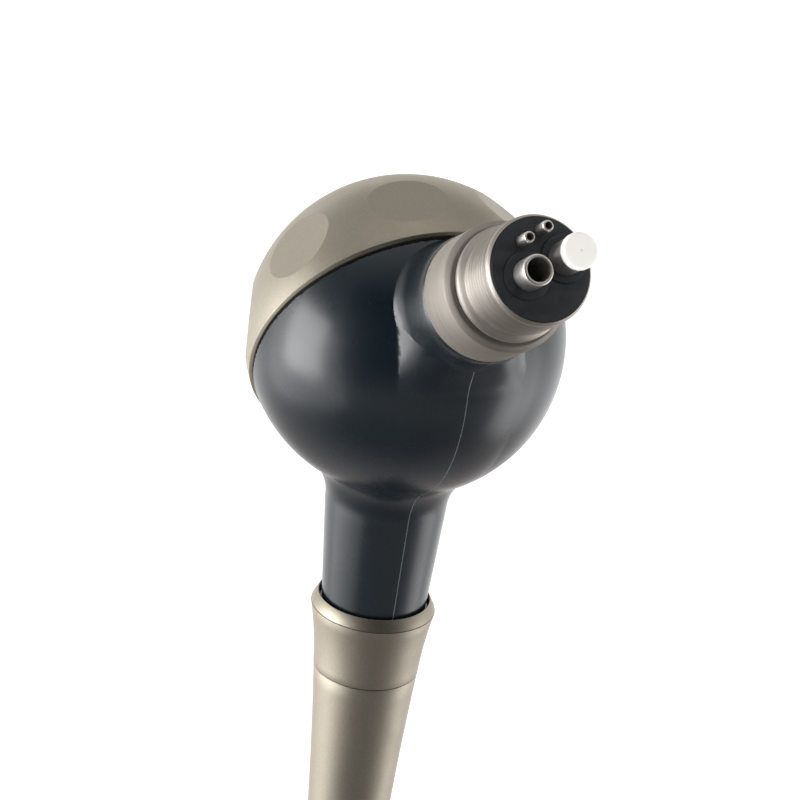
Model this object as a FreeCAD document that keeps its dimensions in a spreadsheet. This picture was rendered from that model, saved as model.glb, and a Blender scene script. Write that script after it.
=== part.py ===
import FreeCAD, Part
import Sketcher
import math
import os

# Air-polishing dental handpiece: a ball-shaped powder chamber with a screw cap, a four-hole hose
# connector, and a nozzle handpiece held in a quick coupling.
#
# The origin is the centre of the ball.  +Z runs up the handpiece axis, so the nozzle is at the
# bottom.  The hose connector leans towards -Y and the cap towards +Y.  Turned pieces are drawn
# as half outlines (out from their axis, up along it) and leaned over with their Placement.

doc = FreeCAD.newDocument("air_polisher")
sheet = doc.addObject("Spreadsheet::Sheet", "Sizes")

driving_sizes = [
    # ball, neck and boss of the moulded body
    ("connector_lean", 56.6, "hose connector axis, degrees from +Z towards -Y"),
    ("cap_lean", 62.5, "cap axis, degrees from +Z towards +Y"),
    ("ball_radius", 19.3, "outside of the moulded ball"),
    ("shell_inside", 17.2, "inside of the moulded ball"),
    ("shell_top", -1.3, "top edge of the moulded ball, along the cap axis"),
    ("neck_radius", 7.6, "neck just under the ball"),
    ("neck_fillet", 7.0, "blend from ball to neck"),
    ("neck_end", -35.9, "lower end of the neck"),
    ("neck_end_radius", 6.62, "neck at its lower end"),
    ("neck_bore", 4.65, "bore through the neck"),
    ("water_offset", -2.85, "water tube in the neck, towards -Y"),
    ("boss_radius", 8.3, "boss that carries the hose connector"),
    ("boss_end", 24.8, "face of the boss, from the ball's centre"),
    ("boss_bore", 5.95, "bore of the boss"),
    ("boss_fillet", 2.4, "blend from ball to boss"),
    ("edge_round", 0.7, "rounded outer edge of the boss"),
    # powder chamber and cap
    ("chamber_outside", 17.1, "outside of the powder chamber"),
    ("chamber_inside", 15.0, "inside of the powder chamber"),
    ("mouth_top", 5.2, "top of the threaded mouth, along the cap axis"),
    ("mouth_thread", 16.5, "crest radius of the mouth's thread"),
    ("mouth_root", 15.9, "root radius of the mouth's thread"),
    ("mouth_pitch", 1.2, "distance between the mouth's threads"),
    ("cap_radius", 19.6, "outside of the cap"),
    ("cap_rim", -0.8, "lower edge of the cap, along the cap axis"),
    ("cap_inside", 17.7, "inside of the cap's dome"),
    ("cap_step", 6.3, "where the cap's threaded bore meets its dome"),
    ("cap_bore", 16.6, "threaded bore of the cap"),
    ("facet_radius", 4.85, "round finger flats on the cap"),
    ("facet_polar", 71.5, "finger flats, degrees from the cap axis"),
    ("facet_phase", -10.0, "turn of the first finger flat about the cap axis"),
    ("facet_count", 8, "number of finger flats"),
    ("liner_inside", 16.2, "inside of the cap's plastic liner"),
    # hose connector, distances from the ball's centre along its own axis
    ("band_radius", 7.44, "plain steel band outside the boss"),
    ("band_end", 31.2, "front of the steel band"),
    ("stem_bore", 4.3, "bore of the band that carries the swivelling stem"),
    ("stem_radius", 4.2, "swivelling stem"),
    ("stem_back", 19.0, "inner end of the stem"),
    ("flange_radius", 6.57, "flange behind the hose thread"),
    ("flange_back", 31.9, "back of that flange"),
    ("thread_radius", 6.2, "crest of the hose thread"),
    ("thread_root", 5.92, "root of the hose thread"),
    ("thread_start", 34.2, "start of the hose thread"),
    ("thread_pitch", 0.64, "pitch of the hose thread"),
    ("face_distance", 39.96, "rubber face"),
    ("gasket_radius", 5.75, "rubber face gasket"),
    ("gasket_back", 38.9, "back of the rubber gasket"),
    ("drive_across", -1.75, "drive air tube, sideways from the connector's axis"),
    ("drive_up", -0.67, "drive air tube, upwards from that axis"),
    ("drive_radius", 1.75, "outside of the drive air tube where it stands out"),
    ("drive_root", 1.57, "outside of the drive air tube where it is held"),
    ("drive_bore", 1.33, "bore radius of the drive air tube"),
    ("drive_tip", 43.2, "tip of the drive air tube"),
    ("drive_shoulder", 40.3, "where the drive air tube thickens"),
    ("exhaust_across", 2.8, "exhaust tube, sideways from the connector's axis"),
    ("exhaust_up", 1.03, "exhaust tube, upwards from that axis"),
    ("exhaust_radius", 1.9, "outside of the exhaust tube"),
    ("exhaust_bore", 1.35, "bore radius of the exhaust tube"),
    ("exhaust_tip", 43.5, "tip of the exhaust tube"),
    ("water_across", -1.9, "water tube, sideways from the connector's axis"),
    ("water_up", 3.1, "water tube, upwards from that axis"),
    ("signal_across", 0.4, "signal air tube, sideways from the connector's axis"),
    ("signal_up", 4.25, "signal air tube, upwards from that axis"),
    ("small_tube", 0.64, "outer radius of the water and signal tubes"),
    ("small_bore", 0.4, "bore radius of the water and signal tubes"),
    ("small_tip", 42.2, "tip of the water and signal tubes"),
    ("plug_head", 2.05, "radius of the white plug's head"),
    ("plug_front", 44.5, "front of the white plug"),
    ("tube_gap", 0.02, "clearance round a tube in its hole"),
    # quick coupling and release sleeve
    ("socket_radius", 5.2, "outside of the coupling socket below the neck"),
    ("socket_bore", 3.6, "bore of the coupling socket"),
    ("socket_end", -45.1, "lower end of the socket"),
    ("lock_height", -41.0, "height of the three locking balls"),
    ("lock_ball", 1.0, "radius of a locking ball"),
    ("lock_travel", 0.45, "outward travel of a locking ball"),
    ("sleeve_travel", 2.0, "upward travel of the release sleeve"),
    ("sleeve_top", -35.2, "upper edge of the collar"),
    ("ridge_height", -36.6, "height of the collar's ridge"),
    ("ridge_radius", 7.88, "radius at the collar's ridge"),
    ("bevel_height", -38.0, "lower edge of the bevel under the ridge"),
    ("bevel_radius", 7.62, "radius at the foot of the bevel"),
    ("seam_height", -45.4, "lower edge of the sleeve"),
    ("seam_radius", 6.72, "radius at the lower edge of the sleeve"),
    ("collar_bore", 6.98, "bore of the collar round the neck"),
    # nozzle handpiece
    ("plug_radius", 3.5, "plug that enters the socket"),
    ("plug_top", -31.0, "upper end of the plug"),
    ("plug_foot", -54.0, "lower end of the plug, inside the barrel"),
    ("barrel_top", -45.5, "upper end of the barrel"),
    ("barrel_top_radius", 6.68, "barrel at its upper end"),
    ("barrel_mid", -72.0, "height where the taper eases off"),
    ("barrel_mid_radius", 5.1, "barrel where the taper eases off"),
    ("barrel_end", -112.0, "lower end of the barrel"),
    ("barrel_end_radius", 4.7, "barrel at its lower end"),
    ("barrel_wall", 0.8, "wall of the barrel"),
    ("grip_grooves", 9, "number of fine grip grooves"),
    ("grip_pitch", 2.2, "distance between grip grooves"),
    ("nose_end", -146.0, "lower end of the nose cone"),
    ("nose_end_radius", 1.9, "nose cone at its lower end"),
    ("nozzle_outer", 1.25, "outer radius of the water nozzle tube"),
    ("nozzle_inner", 0.8, "outer radius of the powder nozzle tube"),
    ("nozzle_bend", 8.0, "bend radius of the nozzle"),
    ("nozzle_turn", 62.0, "angle through which the nozzle is bent"),
    ("nozzle_knee", -166.0, "height of the nozzle's knee"),
    ("nozzle_reach", 15.0, "length of the nozzle past its knee"),
]
for row, (alias, number, note) in enumerate(driving_sizes, start=1):
    sheet.set("A%d" % row, alias)
    sheet.set("B%d" % row, repr(number))
    sheet.set("C%d" % row, note)
    sheet.setAlias("B%d" % row, alias)
doc.recompute()


class Size:
    # a number from the sheet, or worked out from such numbers, with the formula that gives it
    def __init__(self, number, formula):
        self.number = number
        self.formula = formula

    def __add__(self, other):
        other = sized(other)
        return Size(self.number + other.number, "(%s + %s)" % (self.formula, other.formula))

    def __sub__(self, other):
        other = sized(other)
        return Size(self.number - other.number, "(%s - %s)" % (self.formula, other.formula))

    def __mul__(self, other):
        other = sized(other)
        return Size(self.number * other.number, "(%s * %s)" % (self.formula, other.formula))

    def __truediv__(self, other):
        other = sized(other)
        return Size(self.number / other.number, "(%s / %s)" % (self.formula, other.formula))

    def __float__(self):
        return self.number


def sized(thing):
    return thing if isinstance(thing, Size) else Size(float(thing), "(%r)" % float(thing))


def root(square):
    return Size(math.sqrt(square.number), "sqrt(%s)" % square.formula)


def across(radius, height):
    # how far out a sphere of this radius is at this height above its centre
    return root(sized(radius) * radius - sized(height) * height)


class Names:
    pass


size = Names()
for alias, number, note in driving_sizes:
    setattr(size, alias, Size(float(sheet.get(alias)), "Sizes." + alias))

towards_connector = float(size.connector_lean)
towards_cap = -float(size.cap_lean)
nodes = []


def keep(thing, label):
    thing.Label = label
    nodes.append(thing)
    return thing


def place(thing, lean, x=0.0, y=0.0, along=0.0):
    # x, y and along are in the leaned frame, whose upward direction is the piece's own axis
    turn = FreeCAD.Rotation(FreeCAD.Vector(1, 0, 0), lean)
    spot = FreeCAD.Vector(float(x), float(y), float(along))
    thing.Placement = FreeCAD.Placement(turn.multVec(spot), turn)
    return thing


def arc_centre(first, second, radius, bulge):
    # +1 puts the centre on the left of the way from first to second, -1 on the right
    chord = second - first
    left = FreeCAD.Vector(-chord.y, chord.x, 0).normalize()
    drop = math.sqrt(max(radius * radius - chord.Length * chord.Length / 4.0, 0.0))
    return (first + second) * 0.5 + left * (drop * bulge)


def outline_sketch(body, name, corners):
    # corners are (out, up), or (out, up, radius, bulge) where an arc leads to that corner
    sketch = body.newObject("Sketcher::SketchObject", name)
    plane = [part for part in body.Origin.OriginFeatures if part.Role == "XZ_Plane"][0]
    sketch.AttachmentSupport = (plane, [""])
    sketch.MapMode = "FlatFace"
    spots = [FreeCAD.Vector(float(corner[0]), float(corner[1]), 0) for corner in corners]
    count = len(corners)
    starts = []
    for here in range(count):
        beyond = (here + 1) % count
        if len(corners[beyond]) == 2:
            sketch.addGeometry(Part.LineSegment(spots[here], spots[beyond]), False)
            starts.append((1, 2))
            continue
        radius, bulge = float(corners[beyond][2]), corners[beyond][3]
        centre = arc_centre(spots[here], spots[beyond], radius, bulge)
        angles = []
        for spot in (spots[here], spots[beyond]):
            angles.append(math.atan2(spot.y - centre.y, spot.x - centre.x))
        if bulge < 0:
            angles.reverse()
        ring = Part.Circle(centre, FreeCAD.Vector(0, 0, 1), radius)
        sketch.addGeometry(Part.ArcOfCircle(ring, angles[0], angles[1]), False)
        starts.append((1, 2) if bulge > 0 else (2, 1))
    for here in range(count):
        beyond = (here + 1) % count
        sketch.addConstraint(Sketcher.Constraint(
            "Coincident", here, starts[here][1], beyond, starts[beyond][0]))
    for here, corner in enumerate(corners):
        pin_down(sketch, "DistanceX", -2, here, starts[here][0], corner[0])
        pin_down(sketch, "DistanceY", -1, here, starts[here][0], corner[1])
        if len(corner) == 4:
            edge = (here - 1) % count
            number = sketch.addConstraint(Sketcher.Constraint("Radius", edge, float(corner[2])))
            sketch.setExpression("Constraints[%d]" % number, sized(corner[2]).formula)
    return sketch


def pin_down(sketch, direction, axis, edge, end, distance):
    if float(distance) == 0.0:
        sketch.addConstraint(Sketcher.Constraint("PointOnObject", edge, end, axis))
        return
    number = sketch.addConstraint(
        Sketcher.Constraint(direction, -1, 1, edge, end, float(distance)))
    sketch.setExpression("Constraints[%d]" % number, sized(distance).formula)


def turned(label, corners, lean=0.0, x=0.0, y=0.0):
    body = doc.addObject("PartDesign::Body", label)
    sketch = outline_sketch(body, label + "_outline", corners)
    turn = body.newObject("PartDesign::Revolution", label + "_turn")
    turn.Profile = sketch
    turn.ReferenceAxis = (sketch, ["V_Axis"])
    turn.Angle = 360
    return place(body, lean, x, y)


def rod(label, radius, bottom, top, lean=0.0, x=0.0, y=0.0):
    cylinder = doc.addObject("Part::Cylinder", label)
    cylinder.setExpression("Radius", sized(radius).formula)
    cylinder.setExpression("Height", (sized(top) - bottom).formula)
    return place(cylinder, lean, x, y, bottom)


def pipe(label, outside, inside, bottom, top, lean=0.0, x=0.0, y=0.0):
    corners = [(inside, bottom), (outside, bottom), (outside, top), (inside, top)]
    return turned(label, corners, lean, x, y)


def ring_seal(label, around, thickness, height, lean=0.0):
    seal = doc.addObject("Part::Torus", label)
    seal.setExpression("Radius1", sized(around).formula)
    seal.setExpression("Radius2", sized(thickness).formula)
    return place(seal, lean, along=height)


def joined(label, pieces):
    fuse = doc.addObject("Part::MultiFuse", label)
    fuse.Shapes = pieces
    return fuse


def grouped(label, pieces):
    group = doc.addObject("Part::Compound", label)
    group.Links = pieces
    return group


def cut_from(label, base, tools):
    cut = doc.addObject("Part::Cut", label)
    cut.Base = base
    cut.Tool = tools[0] if len(tools) == 1 else joined(label + "_tools", tools)
    return cut


def bent_route(points, bends):
    # straight runs in the mirror plane, joined by tangent arcs of the given radii
    spots = [FreeCAD.Vector(0, float(y), float(z)) for y, z in points]
    edges = []
    reached = spots[0]
    for corner, radius in zip(range(1, len(spots) - 1), bends):
        before = (spots[corner - 1] - spots[corner]).normalize()
        after = (spots[corner + 1] - spots[corner]).normalize()
        half = before.getAngle(after) / 2.0
        trim = radius / math.tan(half)
        middle = (before + after).normalize()
        centre = spots[corner] + middle * (radius / math.sin(half))
        enter, leave = spots[corner] + before * trim, spots[corner] + after * trim
        if (enter - reached).Length > 1e-6:
            edges.append(Part.LineSegment(reached, enter).toShape())
        edges.append(Part.Arc(enter, centre - middle * radius, leave).toShape())
        reached = leave
    edges.append(Part.LineSegment(reached, spots[-1]).toShape())
    return Part.Wire(edges)


def bent_tube(label, points, bends, outside, inside=0.0):
    route = bent_route(points, bends)
    start, ahead = route.Edges[0].valueAt(0), route.Edges[0].tangentAt(0)
    solids = []
    for radius in (float(outside), float(inside)):
        if radius > 0.0:
            section = Part.Wire([Part.makeCircle(radius, start, ahead)])
            solids.append(route.makePipeShell([section], True, False))
    tube = doc.addObject("Part::Feature", label)
    tube.Shape = solids[0].cut(solids[1]) if len(solids) == 2 else solids[0]
    return tube


def thread_corners(crest, valley, start, pitch, turns):
    # V-shaped ridges up a thread, from the bottom; a crest's flat is an eighth of the pitch
    corners = []
    for turn in range(turns):
        low = sized(start) + sized(pitch) * turn
        corners += [(valley, low), (crest, low + sized(pitch) * 0.4),
                    (crest, low + sized(pitch) * 0.525), (valley, low + sized(pitch) * 0.925)]
    return corners


def around_axis(radius, count, number, phase=0.0):
    angle = math.radians(phase + 360.0 * number / count)
    return float(radius) * math.cos(angle), float(radius) * math.sin(angle)


# ---- water line that runs round the chamber, in the mirror plane ----

def water_route():
    # down through the boss, round the chamber just outside it, then down the neck
    lean = math.radians(towards_connector)
    along = FreeCAD.Vector(0, -math.sin(lean), math.cos(lean))
    outward = FreeCAD.Vector(0, -math.cos(lean), -math.sin(lean))
    circle = float(size.shell_inside) + 0.6
    start = along * 22.4 + outward * 7.0
    first, last = math.radians(towards_connector + 28.0), math.radians(165.0)
    neck_side = float(size.water_offset)
    first_touch, first_way = on_circle(circle, first)
    last_touch, last_way = on_circle(circle, last)
    knee = meeting(start, along * -1.0, first_touch, first_way)
    corner = meeting(first_touch, first_way, last_touch, last_way)
    neck_knee = last_touch + last_way * ((neck_side - last_touch.y) / last_way.y)
    points = [(spot.y, spot.z) for spot in (start, knee, corner, neck_knee)]
    return points + [(neck_side, -29.4)], [1.6, circle, 1.0]


def on_circle(radius, angle):
    # a point on a circle round the ball's centre and the direction of travel there
    touch = FreeCAD.Vector(0, -radius * math.sin(angle), radius * math.cos(angle))
    return touch, FreeCAD.Vector(0, -math.cos(angle), -math.sin(angle))


def meeting(first, first_way, second, second_way):
    # where two lines in the mirror plane cross
    spread = first_way.y * second_way.z - first_way.z * second_way.y
    gap = second - first
    return first + first_way * ((gap.y * second_way.z - gap.z * second_way.y) / spread)


# ---- moulded body ----

def moulded_body():
    ball = size.ball_radius
    blend_out = size.neck_radius + size.neck_fillet
    blend_up = across(ball + size.neck_fillet, blend_out) * -1.0
    share = ball / (ball + size.neck_fillet)
    ball_and_neck = turned("ball_and_neck", [
        (0, ball * -1.0 + 20.0),
        (0, size.neck_end),
        (size.neck_end_radius, size.neck_end),
        (size.neck_radius, blend_up),
        (blend_out * share, blend_up * share, size.neck_fillet, -1),
        (0, ball, ball, 1),
    ])
    boss = rod("boss_cylinder", size.boss_radius, 8.0, size.boss_end, towards_connector)
    outside = joined("outside_sharp", [ball_and_neck, boss])
    doc.recompute()
    rounded = doc.addObject("Part::Fillet", "outside_rounded")
    rounded.Base = outside
    rounded.Edges = boss_edges(outside)
    points, bends = water_route()
    hollow = doc.addObject("Part::Sphere", "ball_hollow")
    hollow.setExpression("Radius", size.shell_inside.formula)
    tools = [
        hollow,
        rod("above_rim", 30, size.shell_top, 40, towards_cap),
        rod("boss_drilling", size.boss_bore, 12.0, size.boss_end + 2.0, towards_connector),
        rod("neck_drilling", size.neck_bore, size.neck_end - 1.0, -12.0),
        bent_tube("water_channel", points, bends, 0.62),
    ]
    shell = cut_from("whole_shell", rounded, tools)
    for side, label in ((-1, "left_shell"), (1, "right_shell")):
        half_space = doc.addObject("Part::Box", label + "_side")
        half_space.Length, half_space.Width, half_space.Height = 40, 100, 120
        half_space.Placement.Base = FreeCAD.Vector(min(side, 0) * 40, -50, -60)
        half = doc.addObject("Part::Common", label)
        half.Base, half.Tool = shell, half_space
        keep(half, label)


def boss_edges(outside):
    # the rings where the boss leaves the ball and where it ends
    chosen = []
    lean = math.radians(towards_connector)
    along = FreeCAD.Vector(0, -math.sin(lean), math.cos(lean))
    for number, edge in enumerate(outside.Shape.Edges, start=1):
        if edge.Degenerated or edge.Curve.TypeId != "Part::GeomCircle":
            continue
        if abs(edge.Curve.Radius - float(size.boss_radius)) > 0.01:
            continue
        distance = edge.Curve.Center.dot(along)
        if abs(distance - float(size.boss_end)) < 0.01:
            chosen.append((number, float(size.edge_round), float(size.edge_round)))
        elif distance > 12.0:
            chosen.append((number, float(size.boss_fillet), float(size.boss_fillet)))
    return chosen


# ---- powder chamber and what feeds it ----

def powder_chamber():
    outside, inside = size.chamber_outside, size.chamber_inside
    mouth = thread_corners(size.mouth_thread, size.mouth_root, 0.3, size.mouth_pitch, 4)
    blank = turned("chamber_blank", [
        (0, outside * -1.0),
        (across(outside, size.shell_top), size.shell_top, outside, 1),
        (across(outside, size.shell_top), 0),
        (size.mouth_root, 0),
    ] + mouth[1:] + [
        (size.mouth_root, size.mouth_top),
        (across(inside, size.mouth_top), size.mouth_top),
        (inside, 0, inside, -1),
        (0, inside * -1.0, inside, -1),
    ], towards_cap)
    keep(cut_from("powder_chamber", blank, [
        rod("powder_hole", 1.56, -20.0, -8.0),
        rod("jet_hole", 1.26, 8.0, 20.0, towards_connector),
    ]), "powder_chamber")
    keep(pipe("powder_tube", 1.5, 1.0, -32.6, -12.6), "powder_tube")
    keep(pipe("air_jet", 1.2, 0.5, 12.2, 18.6, towards_connector), "air_jet")
    keep(turned("rim_seal", [
        (across(outside, size.shell_top) + 0.12, size.shell_top),
        (size.ball_radius - 0.55, size.shell_top),
        (size.ball_radius - 0.75, size.cap_rim - 0.06),
        (across(outside, size.shell_top) + 0.12, size.cap_rim - 0.06),
    ], towards_cap), "rim_seal")
    points, bends = water_route()
    keep(bent_tube("water_tube", points, bends, 0.55, 0.3), "water_tube")


# ---- screw cap ----

def screw_cap():
    threads = thread_corners(size.cap_bore + 0.55, size.cap_bore, 0.5, size.mouth_pitch, 4)
    threads.reverse()
    outside = size.cap_radius
    blank = turned("cap_blank", [
        (size.mouth_thread + 0.8, size.cap_rim),
        (across(outside, size.cap_rim) - 0.35, size.cap_rim),
        (across(outside, size.cap_rim + 0.35), size.cap_rim + 0.35),
        (0, outside, outside, 1),
        (0, size.cap_inside),
        (across(size.cap_inside, size.cap_step), size.cap_step, size.cap_inside, -1),
        (size.cap_bore, size.cap_step),
    ] + threads + [
        (size.cap_bore, 0.2),
        (size.mouth_thread + 0.8, 0.2),
    ], towards_cap)
    depth = across(outside, size.facet_radius)
    flats = []
    for number in range(int(float(size.facet_count))):
        flat = rod("finger_flat_%d" % number, 8, 0, 6)
        spin = FreeCAD.Rotation(FreeCAD.Vector(0, 0, 1),
                                float(size.facet_phase) - 90.0 + 45.0 * number)
        tip = FreeCAD.Rotation(FreeCAD.Vector(0, 1, 0), float(size.facet_polar))
        lean = FreeCAD.Rotation(FreeCAD.Vector(1, 0, 0), towards_cap)
        facing = lean.multiply(spin).multiply(tip)
        flat.Placement = FreeCAD.Placement(
            facing.multVec(FreeCAD.Vector(0, 0, float(depth))), facing)
        flats.append(flat)
    keep(cut_from("cap_shell", blank, flats), "cap_shell")
    foot = size.cap_step + 0.02
    keep(turned("cap_liner", [
        (across(size.liner_inside, foot), foot, size.liner_inside, -1),
        (across(size.cap_inside - 0.06, foot), foot),
        (0, size.cap_inside - 0.06, size.cap_inside - 0.06, 1),
        (0, size.liner_inside),
    ], towards_cap), "cap_liner")
    keep(turned("cap_gasket", [
        (size.mouth_root - 1.1, size.mouth_top + 0.05),
        (size.mouth_thread - 0.1, size.mouth_top + 0.05),
        (size.mouth_thread - 0.1, size.cap_step - 0.05),
        (size.mouth_root - 1.1, size.cap_step - 0.05),
    ], towards_cap), "cap_gasket")


# ---- hose connector ----

hole_end = 42.0


def tube_drillings(label, back):
    # the four tube holes through one piece of the connector
    holes = (
        ("drive", size.drive_root, size.drive_across, size.drive_up),
        ("exhaust", size.exhaust_radius, size.exhaust_across, size.exhaust_up),
        ("water", size.small_tube, size.water_across, size.water_up),
        ("signal", size.small_tube, size.signal_across, size.signal_up),
    )
    return [rod("%s_%s" % (label, name), radius + size.tube_gap, back, hole_end,
                towards_connector, x, y) for name, radius, x, y in holes]


def hose_connector():
    lean = towards_connector
    keep(turned("connector_band", [
        (size.stem_bore, 20.9),
        (size.boss_bore - 0.05, 20.9),
        (size.boss_bore - 0.05, size.boss_end),
        (size.band_radius, size.boss_end),
        (size.band_radius, size.band_end - 0.6),
        (size.band_radius - 0.6, size.band_end),
        (size.stem_bore + 1.0, size.band_end),
        (size.stem_bore + 1.0, size.band_end - 1.0),
        (size.stem_bore, size.band_end - 1.0),
    ], lean), "connector_band")
    seal_heights = [22.9, 25.4, 27.9]
    grooves = []
    for height in seal_heights:
        grooves += [(size.stem_radius, height - 0.5), (size.stem_radius - 0.65, height - 0.5),
                    (size.stem_radius - 0.65, height + 0.5), (size.stem_radius, height + 0.5)]
    threads = thread_corners(size.thread_radius, size.thread_root, size.thread_start,
                             size.thread_pitch, 7)
    blank = turned("thread_body_blank", [
        (0, size.stem_back),
        (size.stem_radius - 0.6, size.stem_back),
        (size.stem_radius - 0.6, size.stem_back + 0.7),
        (size.stem_radius - 0.9, size.stem_back + 0.7),
        (size.stem_radius - 0.9, size.stem_back + 1.5),
        (size.stem_radius, size.stem_back + 1.5),
    ] + grooves + [
        (size.stem_radius, size.flange_back - 0.3),
        (size.flange_radius - 0.25, size.flange_back - 0.3),
        (size.flange_radius, size.flange_back),
        (size.flange_radius, size.flange_back + 0.55),
        (size.flange_radius - 0.3, size.flange_back + 0.9),
        (size.thread_root, size.flange_back + 1.2),
    ] + threads + [
        (size.thread_root, size.gasket_back),
        (size.thread_radius - 0.05, size.gasket_back + 0.15),
        (size.thread_radius - 0.05, size.face_distance - 0.55),
        (size.gasket_radius + 0.12, size.face_distance - 0.12),
        (size.gasket_radius + 0.04, size.face_distance - 0.12),
        (size.gasket_radius + 0.04, size.gasket_back + 0.2),
        (0, size.gasket_back + 0.2),
    ], lean)
    keep(cut_from("thread_body", blank, tube_drillings("body", 33.0) + [
        rod("drive_depth", size.drive_root + size.tube_gap, 29.0, 33.5, lean,
            size.drive_across, size.drive_up),
        rod("drive_passage", 1.1, size.stem_back - 1.0, 30.0, lean, -1.2, -0.4),
    ]), "thread_body")
    base = size.gasket_back + 0.22
    disc = rod("gasket_disc", size.gasket_radius, base, size.face_distance, lean)
    bead_open = rod("bead_open", 2.7, base, size.face_distance + 0.3, lean,
                    size.drive_across, size.drive_up)
    bead_shut = rod("bead_shut", 2.72, base, size.face_distance + 0.35, lean,
                    size.exhaust_across, size.exhaust_up)
    inside = rod("gasket_limit", size.gasket_radius - 0.05, base, hole_end, lean)
    beads = doc.addObject("Part::Common", "gasket_beads")
    beads.Base, beads.Tool = joined("both_beads", [bead_open, bead_shut]), inside
    keep(cut_from("face_gasket", joined("gasket_solid", [disc, beads]),
                  tube_drillings("gasket", 38.0)), "face_gasket")
    keep(turned("drive_air_tube", [
        (size.drive_bore, 30.2),
        (size.drive_root, 30.2),
        (size.drive_root, size.drive_shoulder),
        (size.drive_radius, size.drive_shoulder),
        (size.drive_radius, size.drive_tip - 0.15),
        (size.drive_radius - 0.12, size.drive_tip),
        (size.drive_bore, size.drive_tip),
    ], lean, size.drive_across, size.drive_up), "drive_air_tube")
    tubes = (
        ("exhaust_tube", size.exhaust_radius, size.exhaust_bore, 33.2, size.exhaust_tip,
         size.exhaust_across, size.exhaust_up),
        ("water_inlet_tube", size.small_tube, size.small_bore, 34.2, size.small_tip,
         size.water_across, size.water_up),
        ("signal_air_tube", size.small_tube, size.small_bore, 34.2, size.small_tip,
         size.signal_across, size.signal_up),
    )
    for label, outside, bore, back, tip, x, y in tubes:
        keep(turned(label, [
            (bore, back),
            (outside, back),
            (outside, tip - 0.15),
            (outside - 0.12, tip),
            (bore, tip),
        ], lean, x, y), label)
    foot, front = size.exhaust_tip + 0.02, size.plug_front
    keep(turned("exhaust_plug", [
        (0, size.face_distance + 0.44),
        (size.exhaust_bore - 0.05, size.face_distance + 0.44),
        (size.exhaust_bore - 0.05, foot),
        (size.plug_head, foot),
        (size.plug_head, front - 0.15),
        (size.plug_head - 0.15, front),
        (0.14, front),
        (0.1, front - 0.15),
        (0, front - 0.15),
    ], lean, size.exhaust_across, size.exhaust_up), "exhaust_plug")
    seals = [ring_seal("swivel_seal_%d" % number, size.stem_radius - 0.32, 0.32, height, lean)
             for number, height in enumerate(seal_heights, start=1)]
    keep(grouped("swivel_seals", seals), "swivel_seals")
    keep(pipe("swivel_clip", 5.1, size.stem_radius - 0.88, size.stem_back + 0.75,
              size.stem_back + 1.45, lean), "swivel_clip")


# ---- quick coupling in the neck ----

def coupling():
    blank = turned("socket_blank", [
        (0, -24.0),
        (0, -30.4),
        (size.socket_bore, -30.4),
        (size.socket_bore, size.socket_end),
        (size.socket_radius, size.socket_end),
        (size.socket_radius, size.socket_end + 1.2),
        (size.socket_radius - 0.3, size.socket_end + 1.2),
        (size.socket_radius - 0.3, size.socket_end + 1.75),
        (size.socket_radius, size.socket_end + 1.75),
        (size.socket_radius, size.neck_end - 0.02),
        (size.neck_bore - 0.05, size.neck_end - 0.02),
        (size.neck_bore - 0.05, -24.0),
    ])
    tools = [
        rod("powder_seat", 1.55, -31.0, -23.0),
        rod("water_seat", 0.6, -31.0, -23.0, 0.0, 0.0, size.water_offset),
    ]
    for number in range(3):
        window = rod("ball_window_%d" % number, size.lock_ball + 0.05, 2.5, 6.5)
        angle = 90.0 + 120.0 * number
        aim = FreeCAD.Rotation(FreeCAD.Vector(0, 0, 1), angle)
        aim = aim.multiply(FreeCAD.Rotation(FreeCAD.Vector(0, 1, 0), 90.0))
        start = aim.multVec(FreeCAD.Vector(0, 0, 2.5))
        window.Placement = FreeCAD.Placement(
            start + FreeCAD.Vector(0, 0, float(size.lock_height)), aim)
        tools.append(window)
        ball = doc.addObject("Part::Sphere", "lock_ball_%d" % (number + 1))
        ball.setExpression("Radius", size.lock_ball.formula)
        seat = size.socket_bore + size.lock_ball - size.lock_travel
        x, y = around_axis(seat, 3, number, 90.0)
        ball.Placement.Base = FreeCAD.Vector(x, y, float(size.lock_height))
        keep(ball, "lock_ball_%d" % (number + 1))
    keep(cut_from("coupling_socket", blank, tools), "coupling_socket")
    keep(pipe("sleeve_clip", 5.95, size.socket_radius - 0.28, size.socket_end + 1.25,
              size.socket_end + 1.7), "sleeve_clip")


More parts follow.
